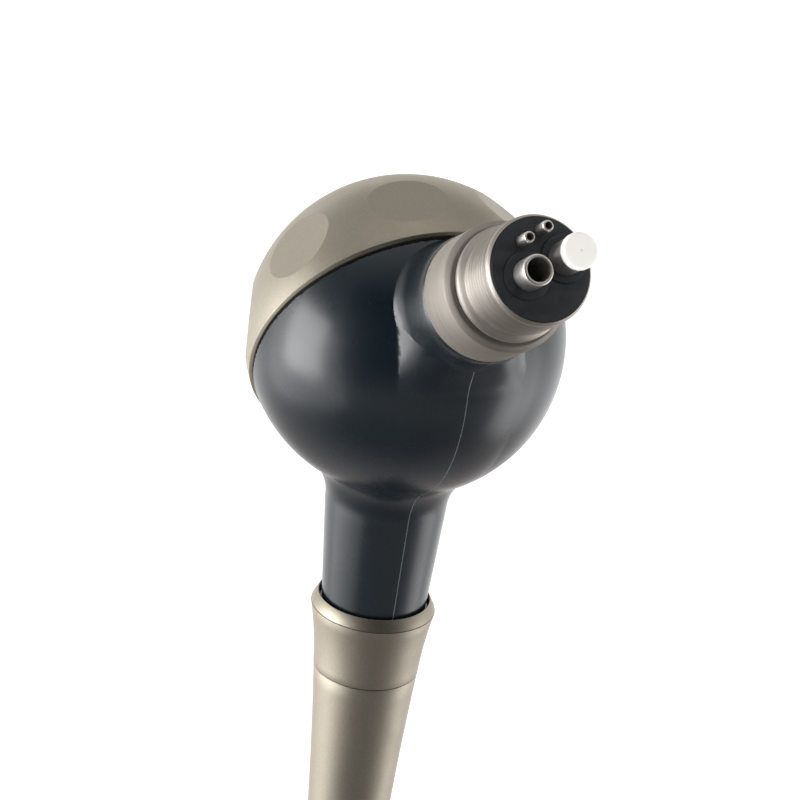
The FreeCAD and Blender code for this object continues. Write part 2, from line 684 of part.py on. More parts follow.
def release_sleeve():
    ridge_share = 0.06
    fit = size.socket_radius + 0.05
    slope = size.lock_travel / size.sleeve_travel
    cone_end = size.lock_height - size.sleeve_travel - 0.25
    keep(turned("collar_ring", [
        (size.collar_bore, size.sleeve_top),
        (size.collar_bore + 0.12, size.sleeve_top + 0.05),
        (size.ridge_radius - 0.04, size.ridge_height + ridge_share),
        (size.ridge_radius - 0.14, size.ridge_height + 0.02),
        (size.collar_bore, size.ridge_height + 0.02),
    ]), "collar_ring")
    keep(turned("release_sleeve", [
        (size.collar_bore, size.ridge_height),
        (size.ridge_radius - 0.14, size.ridge_height),
        (size.ridge_radius, size.ridge_height - ridge_share),
        (size.bevel_radius, size.bevel_height),
        (size.seam_radius, size.seam_height, 55.0, 1),
        (size.socket_radius + 1.0, size.seam_height),
        (size.socket_radius + 1.0, cone_end),
        (fit + slope * (size.lock_height - cone_end), cone_end),
        (fit, size.lock_height),
        (fit, size.lock_height + 1.4),
        (size.collar_bore, size.lock_height + 1.4),
    ]), "release_sleeve")
    # flat-wire spring: a stack of thin rings joined by three struts
    spring_top = size.neck_end - 0.05
    spring_foot = size.lock_height + 1.45
    wires = []
    for number in range(5):
        low = spring_foot + (spring_top - spring_foot - 0.3) * (number / 4.0)
        wires.append(pipe("spring_wave_%d" % number, size.collar_bore - 0.25,
                          size.socket_radius + 0.25, low, low + 0.3))
    for number in range(3):
        x, y = around_axis(6.1, 3, number)
        wires.append(rod("spring_link_%d" % number, 0.3, spring_foot, spring_top, 0.0, x, y))
    keep(joined("sleeve_spring", wires), "sleeve_spring")


# ---- nozzle handpiece ----

def nozzle_handpiece():
    lock = size.lock_height
    seat = size.socket_bore + size.lock_ball - size.lock_travel
    groove = size.lock_ball + 0.1
    half_width = across(groove, seat - size.plug_radius)
    grooves = []
    seal_heights = [-38.2, -34.6]
    for height in seal_heights:
        grooves += [(size.plug_radius, height - 0.5), (size.plug_radius - 0.6, height - 0.5),
                    (size.plug_radius - 0.6, height + 0.5), (size.plug_radius, height + 0.5)]
    spigot = size.barrel_top_radius - size.barrel_wall - 0.55
    keep(turned("rear_plug", [
        (1.1, size.plug_foot),
        (spigot, size.plug_foot),
        (spigot, size.barrel_top - 0.9),
        (size.socket_radius + 0.6, size.barrel_top - 0.9),
        (size.socket_radius + 0.6, size.barrel_top),
        (size.plug_radius, size.barrel_top),
        (size.plug_radius, lock - half_width),
        (size.plug_radius, lock + half_width, groove, -1),
    ] + grooves + [
        (size.plug_radius, size.plug_top - 0.4),
        (size.plug_radius - 0.4, size.plug_top),
        (1.62, size.plug_top),
        (1.62, -33.0),
        (1.1, -33.0),
    ]), "rear_plug")
    seals = [ring_seal("plug_seal_%d" % number, size.plug_radius - 0.27, 0.32, height)
             for number, height in enumerate(seal_heights, start=1)]
    keep(grouped("plug_seals", seals), "plug_seals")
    barrel()
    nose = size.nose_end
    keep(turned("nose_cone", [
        (size.nozzle_outer + 0.03, nose),
        (size.nose_end_radius - 0.25, nose),
        (size.nose_end_radius, nose + 0.3),
        (size.barrel_end_radius - 0.08, size.barrel_end - 0.05, 190.0, -1),
        (size.barrel_end_radius - size.barrel_wall - 0.05, size.barrel_end - 0.05),
        (size.barrel_end_radius - size.barrel_wall - 0.05, size.barrel_end + 6.0),
        (3.1, size.barrel_end + 6.0),
        (3.1, size.barrel_end - 2.0),
        (size.nozzle_outer + 0.03, nose + 22.0),
    ]), "nose_cone")
    turn = math.radians(float(size.nozzle_turn))
    knee = float(size.nozzle_knee)
    reach = float(size.nozzle_reach)
    tip = (-reach * math.sin(turn), knee - reach * math.cos(turn))
    bend = [float(size.nozzle_bend)]
    keep(bent_tube("water_nozzle", [(0, float(nose) + 12.0), (0, knee), tip], bend,
                   size.nozzle_outer, size.nozzle_inner + 0.15), "water_nozzle")
    further = reach + 0.8
    tip = (-further * math.sin(turn), knee - further * math.cos(turn))
    keep(bent_tube("powder_nozzle", [(0, -53.0), (0, knee), tip], bend,
                   size.nozzle_inner, 0.45), "powder_nozzle")
    ferrule = turned("nozzle_tip", [
        (size.nozzle_outer + 0.02, 0),
        (size.nozzle_outer + 0.3, 0.3),
        (size.nozzle_outer + 0.3, 3.2),
        (size.nozzle_outer + 0.02, 3.6),
    ])
    back = reach - 4.0
    ferrule.Placement = FreeCAD.Placement(
        FreeCAD.Vector(0, -back * math.sin(turn), knee - back * math.cos(turn)),
        FreeCAD.Rotation(FreeCAD.Vector(1, 0, 0), 180.0 - float(size.nozzle_turn)))
    keep(ferrule, "nozzle_tip")
    keep(pipe("water_line", 0.6, 0.35, size.barrel_end - 1.0,
              size.plug_foot - 0.1, 0.0, 0.0, 2.3), "water_line")


def barrel():
    wall = size.barrel_wall
    grip_low = size.barrel_end + 8.0
    grooves = []
    for number in range(int(float(size.grip_grooves))):
        low = grip_low + size.grip_pitch * number
        outer = size.barrel_end_radius
        grooves += [(outer, low), (outer - 0.18, low + 0.18),
                    (outer - 0.18, low + 0.5), (outer, low + 0.68)]
    grip_top = grip_low + size.grip_pitch * size.grip_grooves
    keep(turned("barrel", [
        (size.barrel_end_radius - wall, size.barrel_end),
        (size.barrel_end_radius, size.barrel_end),
    ] + grooves + [
        (size.barrel_end_radius, grip_top),
        (size.barrel_mid_radius, size.barrel_mid),
        (size.barrel_top_radius, size.barrel_top, 600.0, -1),
        (size.barrel_top_radius - wall - 0.02, size.barrel_top),
        (size.barrel_top_radius - wall - 0.02, size.barrel_top - 0.95),
        (size.barrel_top_radius - wall - 0.5, size.barrel_top - 0.95),
        (size.barrel_top_radius - wall - 0.5, size.plug_foot - 0.5),
        (size.barrel_mid_radius - wall, size.barrel_mid),
        (size.barrel_end_radius - wall, grip_top),
    ]), "barrel")


moulded_body()
powder_chamber()
screw_cap()
hose_connector()
coupling()
release_sleeve()
nozzle_handpiece()
doc.recompute()

for item in doc.Objects:
    if "Invalid" in item.State or "Error" in item.State:
        raise RuntimeError("%s did not compute" % item.Label)
for node in nodes:
    if node.Shape.isNull() or not node.Shape.isValid():
        raise RuntimeError("%s has no valid shape" % node.Label)

os.makedirs("parts", exist_ok=True)
for node in nodes:
    node.Shape.exportStep("parts/%s.step" % node.Label)
    print("%-18s %8.2f mm3, %d solid(s)" % (node.Label, node.Shape.Volume, len(node.Shape.Solids)))
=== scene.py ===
import math

import bpy
from mathutils import Matrix, Vector


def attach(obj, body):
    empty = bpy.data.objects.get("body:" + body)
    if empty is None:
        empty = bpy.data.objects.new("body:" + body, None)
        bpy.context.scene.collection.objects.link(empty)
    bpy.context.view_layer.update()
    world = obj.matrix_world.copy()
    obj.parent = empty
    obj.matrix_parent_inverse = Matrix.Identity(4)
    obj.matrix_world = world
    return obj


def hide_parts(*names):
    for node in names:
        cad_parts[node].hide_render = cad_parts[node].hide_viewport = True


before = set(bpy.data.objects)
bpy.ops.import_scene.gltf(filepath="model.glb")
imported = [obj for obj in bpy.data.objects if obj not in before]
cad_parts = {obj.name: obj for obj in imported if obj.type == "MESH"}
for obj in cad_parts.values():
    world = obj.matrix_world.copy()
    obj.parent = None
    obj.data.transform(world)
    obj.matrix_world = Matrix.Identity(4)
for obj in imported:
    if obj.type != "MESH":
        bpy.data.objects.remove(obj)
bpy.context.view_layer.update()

mm = 0.001
connectorLean = 56.6  # degrees, towards -Y
capLean = -62.5  # degrees, towards +Y
leanTurn = Matrix.Rotation(math.radians(connectorLean), 3, "X")
hoseAxis = leanTurn @ Vector((0, 0, 1))
hoseUp = leanTurn @ Vector((0, 1, 0))
capAxis = Matrix.Rotation(math.radians(capLean), 3, "X") @ Vector((0, 0, 1))


# small tools

def clearSelection():
    active = bpy.context.object
    if active and active.mode != "OBJECT":
        bpy.ops.object.mode_set(mode="OBJECT")
    bpy.ops.object.select_all(action="DESELECT")


def pick(piece):
    clearSelection()
    piece.select_set(True)
    bpy.context.view_layer.objects.active = piece


def chordPoint(radius, height):
    # how far out a ball of this radius is at this height
    return math.sqrt(radius * radius - height * height)


def arcTo(first, last, radius, side, step=2.5):
    # points after first up to last on an arc, with its centre on the left (+1) or right (-1)
    a, b = Vector(first), Vector(last)
    chord = b - a
    left = Vector((-chord.y, chord.x)).normalized()
    drop = math.sqrt(max(radius * radius - chord.length_squared / 4, 0))
    centre = (a + b) / 2 + left * drop * side
    start = math.atan2(a.y - centre.y, a.x - centre.x)
    end = math.atan2(b.y - centre.y, b.x - centre.x)
    sweep = end - start
    while side > 0 and sweep < 0:
        sweep += 2 * math.pi
    while side < 0 and sweep > 0:
        sweep -= 2 * math.pi
    count = max(2, math.ceil(abs(math.degrees(sweep)) / step))
    points = []
    for n in range(1, count):
        angle = start + sweep * n / count
        points.append((centre.x + radius * math.cos(angle), centre.y + radius * math.sin(angle)))
    return points + [tuple(last)]


def softCorners(outline, cut, closed=True, sharpest=20):
    # every real corner of the outline gets a small round
    count = len(outline)
    softened = []
    for n, corner in enumerate(outline):
        if not closed and n in (0, count - 1):
            softened.append(corner)
            continue
        here = Vector(corner)
        before = Vector(outline[(n - 1) % count]) - here
        after = Vector(outline[(n + 1) % count]) - here
        turn = 180 - math.degrees(before.angle(after))
        if turn < sharpest:
            softened.append(corner)
            continue
        reach = min(cut, before.length * 0.4, after.length * 0.4)
        a = here + before.normalized() * reach
        b = here + after.normalized() * reach
        middle = (a + b + here * 2) / 4
        softened += [tuple(a), tuple(middle), tuple(b)]
    return softened


def spinOutline(name, outline, closed=True, steps=128):
    # one vertex is extruded along the outline (mm), then the outline is spun round Z
    clearSelection()
    start = outline[0]
    bpy.ops.mesh.primitive_plane_add(size=mm, location=(start[0] * mm, 0, start[1] * mm))
    piece = bpy.context.object
    piece.name = name
    piece.data.name = name
    bpy.ops.object.transform_apply(location=True, rotation=True, scale=True)
    bpy.ops.object.mode_set(mode="EDIT")
    bpy.ops.mesh.select_mode(type="VERT")
    bpy.ops.mesh.select_all(action="SELECT")
    bpy.ops.mesh.merge(type="CENTER")
    here = start
    for corner in outline[1:] + ([start] if closed else []):
        move = ((corner[0] - here[0]) * mm, 0, (corner[1] - here[1]) * mm)
        bpy.ops.mesh.extrude_vertices_move(TRANSFORM_OT_translate={"value": move})
        here = corner
    bpy.ops.mesh.select_all(action="SELECT")
    bpy.ops.mesh.remove_doubles(threshold=1e-7)
    bpy.ops.mesh.spin(steps=steps, angle=2 * math.pi, center=(0, 0, 0), axis=(0, 0, 1))
    bpy.ops.mesh.select_all(action="SELECT")
    bpy.ops.mesh.remove_doubles(threshold=1e-7)
    bpy.ops.mesh.normals_make_consistent(inside=False)
    bpy.ops.object.mode_set(mode="OBJECT")
    return piece


def leanOver(piece, lean, across=0, up=0, along=0):
    pick(piece)
    turn = Matrix.Rotation(math.radians(lean), 3, "X")
    piece.rotation_euler = (math.radians(lean), 0, 0)
    piece.location = turn @ (Vector((across, up, along)) * mm)
    bpy.ops.object.transform_apply(location=True, rotation=True, scale=True)
    return piece


def drillRod(name, radius, bottom, top, lean=0, across=0, up=0, steps=48):
    clearSelection()
    bpy.ops.mesh.primitive_cylinder_add(vertices=steps, radius=radius * mm, depth=(top - bottom) * mm,
                                        location=(0, 0, (top + bottom) / 2 * mm))
    rod = bpy.context.object
    rod.name = name
    bpy.ops.object.transform_apply(location=True, rotation=True, scale=True)
    return leanOver(rod, lean, across, up)


def carve(piece, tool, operation="DIFFERENCE"):
    pick(piece)
    change = piece.modifiers.new("carve", "BOOLEAN")
    change.operation = operation
    change.solver = "EXACT"
    change.object = tool
    bpy.ops.object.modifier_apply(modifier=change.name)
    bpy.data.objects.remove(tool)
    return piece


def finishPiece(piece, body, nodes, materials, smooth=30):
    pick(piece)
    bpy.ops.object.shade_smooth_by_angle(angle=math.radians(smooth))
    for material in materials:
        piece.data.materials.append(material)
    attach(piece, body)
    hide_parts(*nodes)
    return piece


# finishes

def newFinish(name, roughness, metallic=0.0, specular=0.5, coat=0.0):
    finish = bpy.data.materials.new(name)
    finish.use_nodes = True
    shader = finish.node_tree.nodes["Principled BSDF"]
    shader.inputs["Metallic"].default_value = metallic
    shader.inputs["Roughness"].default_value = roughness
    shader.inputs["Specular IOR Level"].default_value = specular
    shader.inputs["Coat Weight"].default_value = coat
    return finish, finish.node_tree, shader


def grainOn(tree, size, detail=2.0, lean=0, squash=(1, 1, 1)):
    # noise with grains of this size in mm, on object coordinates
    place = tree.nodes.new("ShaderNodeTexCoord")
    turn = tree.nodes.new("ShaderNodeMapping")
    turn.inputs["Rotation"].default_value = (math.radians(-lean), 0, 0)
    noise = tree.nodes.new("ShaderNodeTexNoise")
    noise.inputs["Scale"].default_value = 1000 / size
    noise.inputs["Detail"].default_value = detail
    tree.links.new(place.outputs["Object"], turn.inputs["Vector"])
    if squash == (1, 1, 1):
        tree.links.new(turn.outputs["Vector"], noise.inputs["Vector"])
    else:
        flatten = tree.nodes.new("ShaderNodeMapping")
        flatten.inputs["Scale"].default_value = squash
        tree.links.new(turn.outputs["Vector"], flatten.inputs["Vector"])
        tree.links.new(flatten.outputs["Vector"], noise.inputs["Vector"])
    return noise.outputs["Fac"]


def spread(tree, source, low, high, lowFrom=0.3, highFrom=0.7):
    span = tree.nodes.new("ShaderNodeMapRange")
    span.inputs["From Min"].default_value = lowFrom
    span.inputs["From Max"].default_value = highFrom
    span.inputs["To Min"].default_value = low
    span.inputs["To Max"].default_value = high
    tree.links.new(source, span.inputs["Value"])
    return span.outputs["Result"]


def tintBetween(tree, source, dark, light, shader):
    ramp = tree.nodes.new("ShaderNodeValToRGB")
    ramp.color_ramp.elements[0].position = 0.3
    ramp.color_ramp.elements[0].color = (*dark, 1)
    ramp.color_ramp.elements[1].position = 0.7
    ramp.color_ramp.elements[1].color = (*light, 1)
    tree.links.new(source, ramp.inputs["Fac"])
    tree.links.new(ramp.outputs["Color"], shader.inputs["Base Color"])


def addRelief(tree, source, shader, height, strength):
    bump = tree.nodes.new("ShaderNodeBump")
    bump.inputs["Strength"].default_value = strength
    bump.inputs["Distance"].default_value = height * mm
    tree.links.new(source, bump.inputs["Height"])
    tree.links.new(bump.outputs["Normal"], shader.inputs["Normal"])


def mouldedPlastic(name, dark, light, roughness, grain=0.12, height=0.004):
    finish, tree, shader = newFinish(name, roughness)
    cloud = grainOn(tree, 6.0, 3.0)
    fine = grainOn(tree, grain, 2.0)
    tintBetween(tree, cloud, dark, light, shader)
    tree.links.new(spread(tree, cloud, roughness - 0.03, roughness + 0.04), shader.inputs["Roughness"])
    addRelief(tree, fine, shader, height, 0.35)
    return finish


def satinMetal(name, dark, light, roughness, grain=0.09, height=0.006, strength=0.5):
    finish, tree, shader = newFinish(name, roughness, metallic=1.0)
    sparkle = grainOn(tree, grain, 1.0)
    cloud = grainOn(tree, 5.0, 3.0)
    tintBetween(tree, sparkle, dark, light, shader)
    tree.links.new(spread(tree, cloud, roughness - 0.03, roughness + 0.05), shader.inputs["Roughness"])
    addRelief(tree, sparkle, shader, height, strength)
    return finish


def turnedMetal(name, dark, light, roughness, lean=0, pitch=0.05, height=0.002, strength=0.4):
    # tool lines run round the piece, so the noise is long round the axis and short along it
    finish, tree, shader = newFinish(name, roughness, metallic=1.0)
    lines = grainOn(tree, pitch, 2.0, lean, (0.02, 0.02, 1))
    cloud = grainOn(tree, 3.0, 3.0)
    tintBetween(tree, lines, dark, light, shader)
    tree.links.new(spread(tree, cloud, roughness - 0.04, roughness + 0.06), shader.inputs["Roughness"])
    addRelief(tree, lines, shader, height, strength)
    return finish


def mouldedRubber(name, dark, light, roughness):
    finish, tree, shader = newFinish(name, roughness)
    cloud = grainOn(tree, 1.2, 4.0)
    fine = grainOn(tree, 0.1, 2.0)
    tintBetween(tree, cloud, dark, light, shader)
    tree.links.new(spread(tree, cloud, roughness - 0.08, roughness + 0.1), shader.inputs["Roughness"])
    addRelief(tree, fine, shader, 0.01, 0.4)
    return finish


navyPlastic = mouldedPlastic("navyPlastic", (0.0036, 0.0080, 0.0120), (0.0041, 0.0089, 0.0133), 0.27,
                             0.12, 0.002)
# pale grey finish for the seam chamfer faces: a painted highlight along the parting line, not a colour of the
# plastic
paintedSeamHighlight = mouldedPlastic("paintedSeamHighlight", (0.12, 0.13, 0.14), (0.17, 0.18, 0.19), 0.5)
champagneMetal = satinMetal("champagneMetal", (0.315, 0.286, 0.234), (0.41, 0.373, 0.308), 0.47)
bandSteel = turnedMetal("bandSteel", (0.32, 0.296, 0.265), (0.38, 0.352, 0.318), 0.66,
                        connectorLean, 0.2, 0.0006, 0.25)
threadSteel = turnedMetal("threadSteel", (0.35, 0.325, 0.292), (0.43, 0.40, 0.363), 0.46,
                          connectorLean, 0.2, 0.0006, 0.25)
tubeSteel = turnedMetal("tubeSteel", (0.68, 0.66, 0.63), (0.78, 0.76, 0.73), 0.4,
                        connectorLean, 0.15, 0.0006, 0.25)
innerSteel = turnedMetal("innerSteel", (0.50, 0.49, 0.47), (0.62, 0.61, 0.59), 0.28)
nozzleSteel = turnedMetal("nozzleSteel", (0.60, 0.59, 0.57), (0.72, 0.71, 0.69), 0.18, 0, 0.1, 0.001)
hardSteel = turnedMetal("hardSteel", (0.42, 0.42, 0.42), (0.52, 0.52, 0.52), 0.25)
blackRubber = mouldedRubber("blackRubber", (0.009, 0.010, 0.012), (0.014, 0.016, 0.019), 0.42)
whitePlastic = mouldedPlastic("whitePlastic", (0.80, 0.785, 0.75), (0.86, 0.845, 0.81), 0.45, 0.2)
greyPlastic = mouldedPlastic("greyPlastic", (0.22, 0.23, 0.24), (0.28, 0.29, 0.30), 0.5, 0.2)
print("finishes made")


# the moulded body: ball, neck, boss and the flat-backed trunk below the boss

bodyForm = {
    "ball": 19.3, "wall": 17.2, "neck": 7.6, "neckFillet": 7.0, "neckEnd": -35.9, "neckEndRadius": 6.62,
    "neckBore": 4.65, "boss": 8.25, "bossEnd": 24.8, "bossBore": 5.95, "rim": -1.3,
    "trunkHalf": 8.08, "trunkTaper": 0.1, "trunkEdge": 2.9, "trunkFoot": 0.28, "flank": 5.1,
    "trunkLow": -24, "seamGap": 0.05, "bossFillet": 4.5, "bossFoot": 19.7,
    "steps": 320, "arcStep": 1.1,
}


def ballAndNeck():
    form = bodyForm
    reach = form["ball"] + form["neckFillet"]
    out = form["neck"] + form["neckFillet"]
    up = -chordPoint(reach, out)
    share = form["ball"] / reach
    touch = (out * share, up * share)
    outline = [(0, form["wall"])]
    outline += arcTo(outline[0], (form["neckBore"], -chordPoint(form["wall"], form["neckBore"])),
                     form["wall"], -1, form["arcStep"] * 2)
    outline += [(form["neckBore"], form["neckEnd"]), (form["neckEndRadius"], form["neckEnd"])]
    neckTop = (form["neck"], up)
    for n in range(1, 12):
        part = n / 12
        outline.append((form["neckEndRadius"] + (neckTop[0] - form["neckEndRadius"]) * part,
                        form["neckEnd"] + (neckTop[1] - form["neckEnd"]) * part))
    outline.append(neckTop)
    outline += arcTo(neckTop, touch, form["neckFillet"], -1, form["arcStep"] * 2)
    outline += arcTo(touch, (0, form["ball"]), form["ball"], 1, form["arcStep"])
    return spinOutline("moulding", outline, closed=False, steps=form["steps"])


def trunkHalfWidth(height):
    return bodyForm["trunkHalf"] + bodyForm["trunkTaper"] * min(height - 2, 0)


def eased(value, low, high):
    part = min(max((value - low) / (high - low), 0), 1)
    return part * part * (3 - 2 * part)


def trunkRise(spot):
    # how far the trunk stands off the ball at this spot (mm)
    form = bodyForm
    below = -spot.dot(hoseUp)
    inside = trunkHalfWidth(spot.z) - abs(spot.x)
    if spot.y > -2 or below < -0.6 or inside <= 0:
        return 0
    turn = math.degrees(math.atan2(-spot.y, spot.z)) - connectorLean  # 0 at the boss, growing downwards
    edge = form["trunkFoot"] + (form["trunkEdge"] - form["trunkFoot"]) * (1 - eased(below, 4, 10))
    edge *= 1 - eased(turn, 62, 92)
    flank = min(inside / form["flank"], 1)
    return edge * (1 - (1 - flank) ** 2) * eased(below, -0.6, 0.6)


def makeBoss():
    # a turned boss whose foot flares out towards the ball
    form = bodyForm
    radius, fillet = form["boss"] - 0.6, form["bossFillet"]
    outline = [(form["bossBore"] - 0.3, 16.2)]
    for degrees in (44, 40, 35, 30, 25, 20, 15, 10, 5, 0):
        angle = math.radians(degrees)
        outline.append((radius + fillet * (1 - math.cos(angle)),
                        form["bossFoot"] - fillet * math.sin(angle)))
    outline += [(radius - 0.01, 21.5), (radius - 0.03, 23.2), (radius - 0.08, 24.2), (radius - 0.16, 24.6),
                (radius - 0.3, form["bossEnd"]), (form["bossBore"] - 0.3, form["bossEnd"])]
    return leanOver(spinOutline("boss", outline, steps=192), connectorLean)


def shapeTrunk(piece):
    # edge loops are cut along the flanks, then the ball's skin is drawn out
    pick(piece)
    bpy.ops.object.mode_set(mode="EDIT")
    for side in (-1, 1):
        for inward in (0, 0.08, 0.25, 0.5):
            bpy.ops.mesh.select_all(action="SELECT")
            place = side * (bodyForm["trunkHalf"] - inward) * mm
            bpy.ops.mesh.bisect(plane_co=(place, 0, 0), plane_no=(side, 0, 0))
    bpy.ops.mesh.select_all(action="SELECT")
    bpy.ops.mesh.remove_doubles(threshold=2e-6)
    bpy.ops.object.mode_set(mode="OBJECT")
    for vertex in piece.data.vertices:
        spot = vertex.co / mm
        if spot.length < bodyForm["wall"] + 1 or spot.z < bodyForm["trunkLow"]:
            continue
        rise = trunkRise(spot)
        if rise > 0:
            away = Vector((0, spot.y, spot.z)).normalized()
            vertex.co = (spot + away * rise) * mm


def makeShells():
    form = bodyForm
    moulding = ballAndNeck()
    shapeTrunk(moulding)
    carve(moulding, makeBoss(), "UNION")
    carve(moulding, drillRod("bossDrill", form["bossBore"], 10, 30, connectorLean, steps=96))
    pick(moulding)
    bpy.ops.object.mode_set(mode="EDIT")
    bpy.ops.mesh.select_all(action="SELECT")
    bpy.ops.mesh.bisect(plane_co=capAxis * form["rim"] * mm, plane_no=capAxis,
                        clear_outer=True, use_fill=True)
    bpy.ops.object.mode_set(mode="OBJECT")
    for side, name, node in ((-1, "leftHalf", "left_shell"), (1, "rightHalf", "right_shell")):
        pick(moulding)
        bpy.ops.object.duplicate()
        half = bpy.context.object
        half.name = name
        half.data.name = name
        bpy.ops.object.mode_set(mode="EDIT")
        bpy.ops.mesh.select_all(action="SELECT")
        bpy.ops.mesh.bisect(plane_co=(0, 0, 0), plane_no=(side, 0, 0), clear_inner=True, use_fill=True)
        bpy.ops.mesh.select_all(action="SELECT")
        bpy.ops.mesh.remove_doubles(threshold=1e-7)
        bpy.ops.mesh.normals_make_consistent(inside=False)
        bpy.ops.object.mode_set(mode="OBJECT")
        markSeam(half)
        finishPiece(half, "housing", [node], [navyPlastic, paintedSeamHighlight], 32)
    bpy.data.objects.remove(moulding)


def markSeam(half):
    # the outer edge of the joint face gets a fine chamfer, painted pale as a painted highlight along the parting
    # line
    pick(half)
    bpy.ops.object.mode_set(mode="EDIT")
    bpy.ops.mesh.select_mode(type="EDGE")
    bpy.ops.mesh.select_all(action="DESELECT")
    bpy.ops.object.mode_set(mode="OBJECT")
    mesh = half.data
    flatFaces = {f.index for f in mesh.polygons if abs(f.normal.x) > 0.999 and abs(f.center.x) < 1e-7}
    borders = {}
    for face in mesh.polygons:
        for key in face.edge_keys:
            borders.setdefault(key, []).append(face.index in flatFaces)
    for edge in mesh.edges:
        a, b = (mesh.vertices[v].co / mm for v in edge.vertices)
        middle = (a + b) / 2
        inRing = middle.length > bodyForm["wall"] + 1 and abs(middle.y) > 5.5
        onJoint = sorted(borders.get(edge.key, [])) == [False, True]
        edge.select = onJoint and inRing and middle.dot(capAxis) < -1.35
    bpy.ops.object.mode_set(mode="EDIT")
    bpy.ops.mesh.bevel(offset=bodyForm["seamGap"] * mm, segments=1, affect="EDGES")
    bpy.ops.object.mode_set(mode="OBJECT")
    # the chamfer faces take the pale second finish, a painted highlight along the seam
    for face in mesh.polygons:
        if abs(face.center.x) < bodyForm["seamGap"] * mm and 0.3 < abs(face.normal.x) < 0.95:
            face.material_index = 1


makeShells()
print("moulded halves made")


# the hose connector

connectorForm = {
    "band": 7.44, "bandBack": 24.8, "bandEnd": 31.2, "stem": 4.2, "stemBack": 19.0, "flange": 6.57,
    "flangeBack": 31.9, "thread": 6.2, "threadRoot": 5.92, "threadStart": 34.2, "pitch": 0.64, "turns": 7,
    "gasketBack": 38.9, "gasket": 5.75, "face": 39.96,
}
tubePlaces = {"drive": (-1.75, -0.67, 1.59), "exhaust": (2.8, 1.03, 1.92),
              "water": (-1.9, 3.1, 0.66), "signal": (0.4, 4.25, 0.66)}


def makeBand():
    form = connectorForm
    back, end, wide = form["bandBack"] + 0.02, form["bandEnd"], form["band"]
    outline = softCorners([(4.3, 20.9), (5.9, 20.9), (5.9, back), (wide, back), (wide, end - 0.6),
                           (wide - 0.6, end), (5.3, end), (5.3, end - 1), (4.3, end - 1)], 0.09)
    band = leanOver(spinOutline("steelBand", outline, steps=192), connectorLean)
    finishPiece(band, "housing", ["connector_band"], [bandSteel])


def drillTubeHoles(piece, back):
    for name, (across, up, radius) in tubePlaces.items():
        carve(piece, drillRod(name + "Hole", radius, back, 42, connectorLean, across, up))


def makeThreadBody():
    form = connectorForm
    root, crest = form["threadRoot"], form["thread"]
    back = form["stemBack"]
    outline = [(0, back), (3.6, back), (3.6, back + 0.7), (3.3, back + 0.7), (3.3, back + 1.5),
               (form["stem"], back + 1.5)]
    for height in (22.9, 25.4, 27.9):
        outline += [(form["stem"], height - 0.5), (form["stem"] - 0.65, height - 0.5),
                    (form["stem"] - 0.65, height + 0.5), (form["stem"], height + 0.5)]
    outline += [(form["stem"], form["flangeBack"] - 0.3), (form["flange"] - 0.25, form["flangeBack"] - 0.3),
                (form["flange"], form["flangeBack"]), (form["flange"], form["flangeBack"] + 0.55),
                (form["flange"] - 0.3, form["flangeBack"] + 0.9), (root, form["flangeBack"] + 1.2)]
    for turn in range(form["turns"]):
        low = form["threadStart"] + form["pitch"] * turn
        outline += [(root, low), (crest, low + form["pitch"] * 0.4),
                    (crest, low + form["pitch"] * 0.525), (root, low + form["pitch"] * 0.925)]
    outline += [(root, form["gasketBack"]), (crest - 0.05, form["gasketBack"] + 0.15),
                (crest - 0.05, form["face"] - 0.55), (form["gasket"] + 0.12, form["face"] - 0.12),
                (form["gasket"] + 0.04, form["face"] - 0.12),
                (form["gasket"] + 0.04, form["gasketBack"] + 0.2),
                (0, form["gasketBack"] + 0.2)]
    outline = softCorners(outline, 0.05, closed=False)
    body = leanOver(spinOutline("threadedBody", outline, closed=False, steps=160), connectorLean)
    drillTubeHoles(body, 33)
    finishPiece(body, "hose_connector", ["thread_body"], [threadSteel])


def makeGasket():
    form = connectorForm
    base = form["gasketBack"] + 0.22
    wide, face = form["gasket"], form["face"]
    outline = softCorners([(0, base), (wide, base), (wide, face), (0, face)], 0.12, closed=False)
    gasket = leanOver(spinOutline("rubberFace", outline, closed=False, steps=128), connectorLean)
    for name, radius, height in (("drive", 2.7, 0.3), ("exhaust", 2.72, 0.35)):
        across, up, hole = tubePlaces[name]
        bead = softCorners([(hole - 0.2, base + 0.2), (radius, base + 0.2), (radius, face + height),
                            (hole - 0.2, face + height)], 0.2)
        ring = leanOver(spinOutline(name + "Bead", bead, steps=64), connectorLean, across, up)
        carve(gasket, ring, "UNION")
    drillTubeHoles(gasket, 38)
    finishPiece(gasket, "hose_connector", ["face_gasket"], [blackRubber])


def makeTube(name, node, place, outline, finish):
    across, up, _ = tubePlaces[place]
    closed = outline[0][0] > 0
    outline = softCorners(outline, 0.12, closed)
    tube = leanOver(spinOutline(name, outline, closed, steps=64), connectorLean, across, up)
    finishPiece(tube, "hose_connector", [node], [finish])


def makeTubes():
    makeTube("driveAirTube", "drive_air_tube", "drive",
             [(1.33, 30.2), (1.57, 30.2), (1.57, 40.3), (1.75, 40.3), (1.75, 43.05), (1.63, 43.2),
              (1.33, 43.2)], tubeSteel)
    makeTube("exhaustTube", "exhaust_tube", "exhaust",
             [(1.35, 33.2), (1.9, 33.2), (1.9, 43.35), (1.78, 43.5), (1.35, 43.5)], tubeSteel)
    thin = [(0.4, 34.2), (0.64, 34.2), (0.64, 42.05), (0.52, 42.2), (0.4, 42.2)]
    makeTube("waterTubeEnd", "water_inlet_tube", "water", thin, tubeSteel)
    makeTube("signalTubeEnd", "signal_air_tube", "signal", thin, tubeSteel)
    makeTube("whitePlug", "exhaust_plug", "exhaust",
             [(0, 40.4), (1.3, 40.4), (1.3, 43.52), (2.05, 43.52), (2.05, 44.28), (1.84, 44.5),
              (0.14, 44.5), (0.1, 44.35), (0, 44.35)], whitePlastic)


makeBand()
makeThreadBody()
makeGasket()
makeTubes()
print("hose connector made")


# the screw cap

